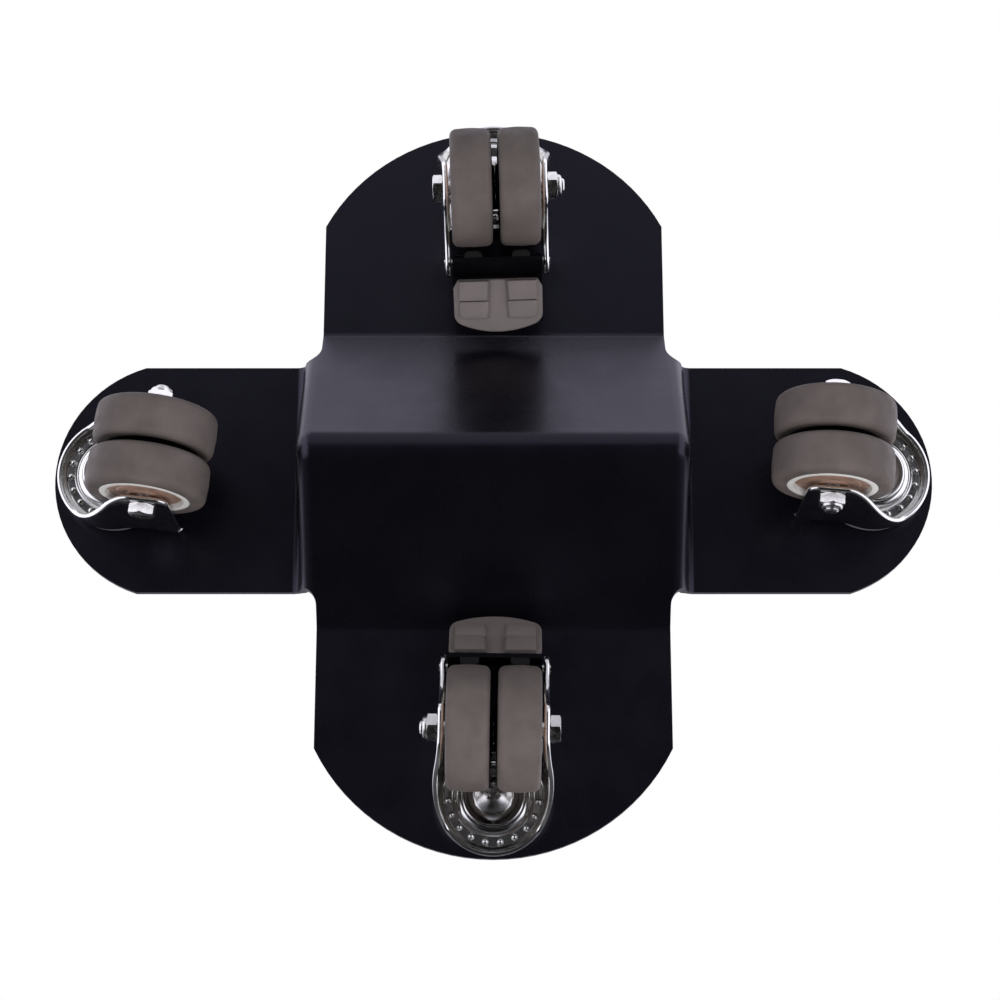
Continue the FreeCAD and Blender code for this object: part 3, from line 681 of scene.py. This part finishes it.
class DOLLY_OT_forks(bpy.types.Operator):
    """Stamped forks: the ridged ring, and the lip that runs on into the swan-neck legs"""
    bl_idname = "dolly.forks"
    bl_label = "Forks"

    def execute(self, context):
        shape = context.scene.dolly_shape
        for caster in CASTERS:
            place = caster_place(caster)
            body = caster + "_swivel"
            node = [caster + "_fork"]
            piece(caster + "_fork_ring", self.ring(shape), place, body,
                  finish("bright_plating"), node)
            piece(caster + "_fork_legs", self.legs(shape, caster in BRAKED), place, body,
                  finish("bright_plating"), node, sharp=50)
        return {"FINISHED"}

    def ring(self, shape):
        """Ridged ring between the keeper and the lip, with the balls in its groove."""
        top, inside, outside = -3.45, 10.05, 21.95
        ridge = [(12.5, -7.0), (12.75, -8.2), (13.0, -8.8), (13.4, -9.0), (13.9, -8.9), (14.5, -8.6),
                 (15.1, -8.1), (15.5, -7.5), (15.8, -7.2), (16.5, -7.3), (16.9, -7.0)]
        groove = [(17.0, -5.0), (19.95, -5.0)]
        edge = [(20.15, -6.6), (20.6, -6.9), (21.1, -6.6), (outside, -6.4)]
        ball_radius, ball_circle, ball_height = 1.3, 18.5, -6.0
        bm = bmesh.new()
        turn_outline(bm, [(inside, top), (inside, -6.2), (12.0, -6.4)] + ridge + groove + edge
                     + [(outside, top)], 120)
        for number in range(shape.balls):
            turn = math.tau * number / shape.balls
            spot = (ball_circle * math.cos(turn), ball_circle * math.sin(turn), ball_height)
            ball = bmesh.ops.create_uvsphere(bm, u_segments=14, v_segments=8, radius=ball_radius)["verts"]
            bmesh.ops.translate(bm, vec=spot, verts=ball)
        web = bmesh.new()
        plate(web, [(4, -19), (24, -19), (24, 19), (4, 19)], -5.55, -3.5)
        hole = turn_outline(bmesh.new(), [(0, -8), (20, -8), (20, 0), (0, 0)], 72, ring=False)
        return added(bm, carved(web, hole))

    def legs(self, shape, braked):
        """The lip round the ring and both legs, as one bent strip."""
        leave = math.radians(75)
        radius = shape.ring_radius
        turn_in = radius * math.cos(leave)
        round_length = radius * (math.pi - leave)
        top, fold, bend_length = -3.42, 3.0, 11.0

        def along(x):
            """How far along the strip a point of the side view lies."""
            if x < turn_in:
                return radius * (math.pi - math.acos(max(x / radius, -1)))
            return round_length + x - turn_in

        def path(s):
            """Plan point of the strip's outer face, and the way inwards."""
            if s < round_length:
                turn = math.pi - s / radius
                out = Vector((math.cos(turn), math.sin(turn), 0))
                return out * radius, -out
            x = s - round_length + turn_in
            share = min((x - turn_in) / bend_length, 1.0)
            start, slope = radius * math.sin(leave), -math.cos(leave) / math.sin(leave) * bend_length
            y = (start * (2 * share ** 3 - 3 * share ** 2 + 1) + slope * (share ** 3 - 2 * share ** 2 + share)
                 + shape.leg_side * (3 * share ** 2 - 2 * share ** 3))
            return Vector((x, y, 0)), Vector((0, -1, 0))

        def outwards(face):
            """How far a face looks away from the middle, above zero for outwards."""
            middle = face.calc_center_median()
            return face.normal.dot(Vector((middle.x - 10, middle.y, 0)))

        sole = -AXLE_DROP - shape.leg_foot
        shoulder, toe = (-15.0, -8.95), (15.5, sole)
        front = [shoulder] + swept(shoulder, (-8.0, -10.0), (6.0, sole), toe, 26) + [toe]
        heel_round, ear_round, sweep, neck = 5.0, 5.5, 22.0, 24.0
        heel = arc((shape.leg_back - heel_round, sole + heel_round), heel_round, 270, 360, 8)
        if braked:
            back = (arc_through(heel[-1], (PIN_REACH, -PIN_DROP - ear_round), sweep, -1, 16)[1:]
                    + arc((PIN_REACH, -PIN_DROP), ear_round, -80, 90, 14) + [(neck, top)])
        else:
            back = [(shape.leg_back, top)]
        lip = [(along(shoulder[0]) * share, -8.0 - 0.95 * share ** 2) for share in (0, 0.25, 0.5, 0.75)]
        outline = [(0, top)] + lip + [(along(x), z) for x, z in front + heel + back]
        bm = bmesh.new()
        bm.faces.new([bm.verts.new((s, 0, z)) for s, z in outline])
        bends, folds, shortest = 58, 7, 0.3
        for bend in range(1, bends + 1):
            cut = (round_length + bend_length) * bend / bends
            bmesh.ops.bisect_plane(bm, geom=bm.verts[:] + bm.edges[:] + bm.faces[:], dist=0.0001,
                                   plane_co=(cut, 0, 0), plane_no=(1, 0, 0))
        for number in range(1, folds + 1):
            drop = fold * (1 - math.cos(math.radians(90 * number / folds)))
            bmesh.ops.bisect_plane(bm, geom=bm.verts[:] + bm.edges[:] + bm.faces[:], dist=0.0001,
                                   plane_co=(0, 0, top - drop), plane_no=(0, 0, 1))
        bmesh.ops.remove_doubles(bm, verts=[vert for vert in bm.verts if vert.is_boundary],
                               dist=shortest)
        for vert in bm.verts:
            point, inward = path(vert.co.x)
            z = vert.co.z
            bend = max(z - (top - fold), 0)
            depth = fold - math.sqrt(max(fold ** 2 - bend ** 2, 0))
            vert.co = point + inward * depth + Vector((0, 0, z))
        other = bm.copy()
        bmesh.ops.scale(other, vec=(1, -1, 1), verts=other.verts[:])
        bmesh.ops.reverse_faces(other, faces=other.faces[:])
        added(bm, other)
        bmesh.ops.remove_doubles(bm, verts=bm.verts[:], dist=0.01)
        bmesh.ops.recalc_face_normals(bm, faces=bm.faces[:])
        if sum(outwards(face) for face in bm.faces) < 0:
            bmesh.ops.reverse_faces(bm, faces=bm.faces[:])
        bmesh.ops.solidify(bm, geom=bm.faces[:], thickness=shape.steel)
        rim_round = 0.9
        rim = [edge for edge in bm.edges if edge.is_manifold and edge.calc_face_angle(0) > math.radians(60)]
        bmesh.ops.bevel(bm, geom=rim, offset=rim_round, offset_type="OFFSET", segments=4, profile=0.5,
                        affect="EDGES", material=-1, clamp_overlap=False)
        return bm


class DOLLY_OT_axles(bpy.types.Operator):
    """Axle bolts with their heads and lock nuts"""
    bl_idname = "dolly.axles"
    bl_label = "Axles"

    def execute(self, context):
        side = context.scene.dolly_shape.leg_side
        flats, height, bore = 10.0, 4.4, 3.0
        for caster in CASTERS:
            place = caster_place(caster) @ AXLE
            body = caster + "_swivel"
            bolt = hex_nut(flats, -side - height, -side - 0.02, 0.0)
            shank = turn_outline(bmesh.new(), [(0, -side - 1), (2.95, -side - 1), (2.95, side + 6.6),
                                               (2.4, side + 7.2), (0, side + 7.2)], 40, ring=False)
            piece(caster + "_axle", added(bolt, shank), place, body, finish("zinc_plating"),
                  [caster + "_axle_bolt"])
            nut = hex_nut(flats, side + 0.02, side + height, bore)
            crown = turn_outline(bmesh.new(), [(bore, side + 4.2), (4.7, side + 4.2), (4.5, side + 5.4),
                                               (4.0, side + 6.0), (bore, side + 6.0)], 40)
            soften(crown, 0.25, 2, 20)
            piece(caster + "_lock_nut", added(nut, crown), place, body, finish("zinc_plating"),
                  [caster + "_axle_nut"])
        return {"FINISHED"}


class DOLLY_OT_wheels(bpy.types.Operator):
    """Twin wheels: tread, white core and bearing cap"""
    bl_idname = "dolly.wheels"
    bl_label = "Wheels"

    def execute(self, context):
        shape = context.scene.dolly_shape
        for caster in CASTERS:
            for number in (1, 2):
                flip = Matrix.Rotation(math.pi, 4, "X") if number == 1 else Matrix.Identity(4)
                place = (caster_place(caster) @ AXLE @ flip
                         @ Matrix.Translation((0, 0, shape.wheel_spacing / 2)))
                body = "%s_wheel_%d" % (caster, number)
                tread = ["%s_tread_%d" % (caster, number)]
                core = ["%s_core_%d" % (caster, number)]
                piece("%s_tyre_%d" % (caster, number), self.tyre(shape), place, body,
                      finish("tread_rubber"), tread)
                piece("%s_hub_%d" % (caster, number), self.hub(shape), place, body,
                      finish("core_plastic"), core)
                piece("%s_cap_%d" % (caster, number), self.cap(shape), place, body,
                      finish("disc_bronze"), core)
                # The dark cover over each core's inner face is painted shade of the gap between the twin wheels;
                # its boss is the real spacer.
                piece("%s_spacer_%d" % (caster, number), self.spacer_and_gap_shade(shape), place, body,
                      finish("lever_paint_and_gap_shade"), core)
        return {"FINISHED"}

    def tyre(self, shape):
        """Tread with rounded shoulders, a little crowned."""
        radius, half, inner = shape.wheel_radius, shape.wheel_width / 2, shape.core_radius
        bm = bmesh.new()
        shoulder = arc((radius - 0.3 - shape.tread_round, half - shape.tread_round), shape.tread_round, 5, 85, 8)
        crown = [(radius, 0), (radius - 0.08, 2.4)] + shoulder + [(inner + 1.0, half), (inner, half - 0.1)]
        turn_outline(bm, [(r, -z) for r, z in reversed(crown[1:])] + crown, 128)
        return bm

    def hub(self, shape):
        """White core: raised rim, recessed web and hub."""
        half, outer = shape.wheel_width / 2, shape.core_radius
        bm = bmesh.new()
        turn_outline(bm, [(outer, -half + 0.15), (outer, half - 0.15), (outer - 0.5, half), (outer - 2.6, half),
                          (outer - 3.2, half - 2.6), (6.4, half - 2.6), (6.2, half - 0.4), (3.1, half - 0.4),
                          (3.1, -half + 0.4), (6.2, -half + 0.4), (6.4, -half + 2.6),
                          (outer - 3.2, -half + 2.6), (outer - 2.6, -half), (outer - 0.5, -half)], 96)
        soften(bm, 0.3, 2, 25)
        return bm

    def cap(self, shape):
        """Brown cap over the bearing, in the core's recess."""
        half, outer = shape.wheel_width / 2, shape.core_radius - 3.3
        bm = bmesh.new()
        turn_outline(bm, [(6.45, half - 2.5), (outer, half - 2.5), (outer, half - 1.9), (outer - 0.8, half - 1.5),
                          (outer - 3.5, half - 1.6), (outer - 4.2, half - 1.1), (7.2, half - 0.8),
                          (6.6, half - 0.25), (3.15, half - 0.25), (3.15, half - 0.38), (6.3, half - 0.38)], 96)
        soften(bm, 0.2, 2, 20)
        return bm

    def spacer_and_gap_shade(self, shape):
        """Dark cover on the inner side, painted shade of the gap between twin wheels, with the boss that keeps
        the twin wheels apart.
        """
        inner, outer = -shape.wheel_width / 2, shape.core_radius + 0.2
        gap = (shape.wheel_spacing - shape.wheel_width) / 2
        bm = bmesh.new()
        turn_outline(bm, [(3.1, inner + 0.2), (outer, inner + 0.2), (outer, inner - 0.2), (9.6, inner - 0.5),
                          (9.0, inner - gap + 0.1), (3.1, inner - gap + 0.1)], 72)
        soften(bm, 0.12, 2, 20)
        return bm


class DOLLY_OT_brakes(bpy.types.Operator):
    """Toe brakes: pedals with stepped pads, levers, shoes and pins"""
    bl_idname = "dolly.brakes"
    bl_label = "Brakes"

    def execute(self, context):
        spacing, tilt = context.scene.dolly_shape.wheel_spacing, math.radians(-34)
        for caster in BRAKED:
            slant = (Matrix.Translation((PIN_REACH, 0, -PIN_DROP))
                     @ Matrix.Rotation(tilt, 4, "Y"))
            piece(caster + "_pedal", self.pedal(), caster_place(caster) @ slant, caster + "_brake",
                  finish("pedal_plastic"), [caster + "_brake_pedal"])
            refinish(caster + "_brake_lever", "lever_paint_and_gap_shade")
            for number, side in ((1, 1), (2, -1)):
                spot = caster_place(caster) @ Matrix.Translation((0, side * spacing / 2, 0))
                piece("%s_shoe_%d" % (caster, number), self.shoe(), spot, caster + "_brake",
                      finish("shoe_rubber"), [caster + "_brake_shoes"])
            refinish(caster + "_brake_pin", "zinc_plating")
        return {"FINISHED"}

    def shoe(self):
        """Friction block hollowed to the tread, with rounded flanks."""
        arm, foot, head = PIN_REACH + 2.0, -PIN_DROP - 11.6, -PIN_DROP - 4.0
        half, hollow_radius, steps = 3.8, 27.2, 8
        hollow = []
        for i in range(steps + 1):
            z = head + (foot - head) * i / steps
            hollow.append((TRAIL + math.sqrt(hollow_radius ** 2 - (z + AXLE_DROP) ** 2), z))
        bm = bmesh.new()
        plate(bm, [(arm, head)] + hollow + [(arm, foot)], -half, half, "Y")
        flanks = [edge for edge in bm.edges if abs(edge.verts[0].co.x - arm) > 1
                  and abs(edge.verts[1].co.x - arm) > 1 and abs(edge.verts[0].co.y - edge.verts[1].co.y) < 0.1]
        bmesh.ops.bevel(bm, geom=flanks, offset=2.2, offset_type="OFFSET", segments=4, profile=0.5,
                        affect="EDGES", material=-1, clamp_overlap=True)
        return bm

    def pedal(self):
        """Plate with an arched edge, and on its underside two stepped pads beside a valley."""
        end, start, half, radius = 29.9, 6.9, 19.0, 40.0
        top, thickness, narrowing, taper = 2.0, 3.4, 2.0, 3.6
        inner, outer = 4.4, 16.6
        reach = math.degrees(math.asin((half - 2.6) / radius))
        edge = arc((end - radius, 0), radius, -reach, reach, 12)
        corner = Vector(edge[-1])
        flank = arc_through(tuple(corner), (corner.x - 4.6, half), 5.4, 1, 6)[1:]
        root = [(start + taper, half), (start, half - narrowing)]
        outline = ([(x, -y) for x, y in reversed(root)] + [(x, -y) for x, y in reversed(flank)]
                   + edge + flank + root)
        bm = bmesh.new()
        plate(bm, outline, top - thickness, top)
        soften(bm, 0.8, 3, 40)
        for side in (1, -1):
            for low, near, far, fillet in ((-2.9, 16.0, 23.4, 2.6), (-3.9, start + 0.2, 15.4, 0.0)):
                corner = [(far, side * outer)]
                if fillet:
                    corner = [(x, side * y) for x, y in arc((far - fillet, outer - fillet), fillet, 0, 90, 6)]
                pad = bmesh.new()
                plate(pad, [(near, side * inner), (far, side * (inner + 0.4))] + corner + [(near, side * outer)],
                      low, -1.0)
                foot = [vert for vert in pad.verts if vert.co.z > -1.1 and abs(vert.co.y) < inner + 1]
                bmesh.ops.translate(pad, vec=(0, -side * 1.5, 0), verts=foot)
                soften(pad, 0.25, 2, 40)
                added(bm, pad)
        return bm


class DOLLY_PT_panel(bpy.types.Panel):
    """Buttons for every group of pieces"""
    bl_idname = "DOLLY_PT_panel"
    bl_label = "Piano Dolly"
    bl_space_type = "VIEW_3D"
    bl_region_type = "UI"
    bl_category = "Dolly"

    def draw(self, context):
        for group in (context.scene.dolly_shape, context.scene.dolly_finish):
            column = self.layout.column()
            for name in group.bl_rna.properties.keys():
                if name not in ("rna_type", "name"):
                    column.prop(group, name)
        for operator in OPERATORS:
            self.layout.operator(operator.bl_idname)


OPERATORS = (
    DOLLY_OT_stage,
    DOLLY_OT_cross,
    DOLLY_OT_king_screws,
    DOLLY_OT_forks,
    DOLLY_OT_axles,
    DOLLY_OT_wheels,
    DOLLY_OT_brakes,
)
CLASSES = (DollyFinish, DollyShape) + OPERATORS + (DOLLY_PT_panel,)


def register():
    for item in CLASSES:
        bpy.utils.register_class(item)
    bpy.types.Scene.dolly_finish = PointerProperty(type=DollyFinish)
    bpy.types.Scene.dolly_shape = PointerProperty(type=DollyShape)


def unregister():
    del bpy.types.Scene.dolly_shape
    del bpy.types.Scene.dolly_finish
    for item in reversed(CLASSES):
        bpy.utils.unregister_class(item)


def main():
    """Make every piece; each piece hides the frame's nodes that it stands for."""
    register()
    bpy.ops.dolly.stage()
    bpy.ops.dolly.cross()
    bpy.ops.dolly.king_screws()
    bpy.ops.dolly.forks()
    bpy.ops.dolly.axles()
    bpy.ops.dolly.wheels()
    bpy.ops.dolly.brakes()


if __name__ == "__main__":
    main()
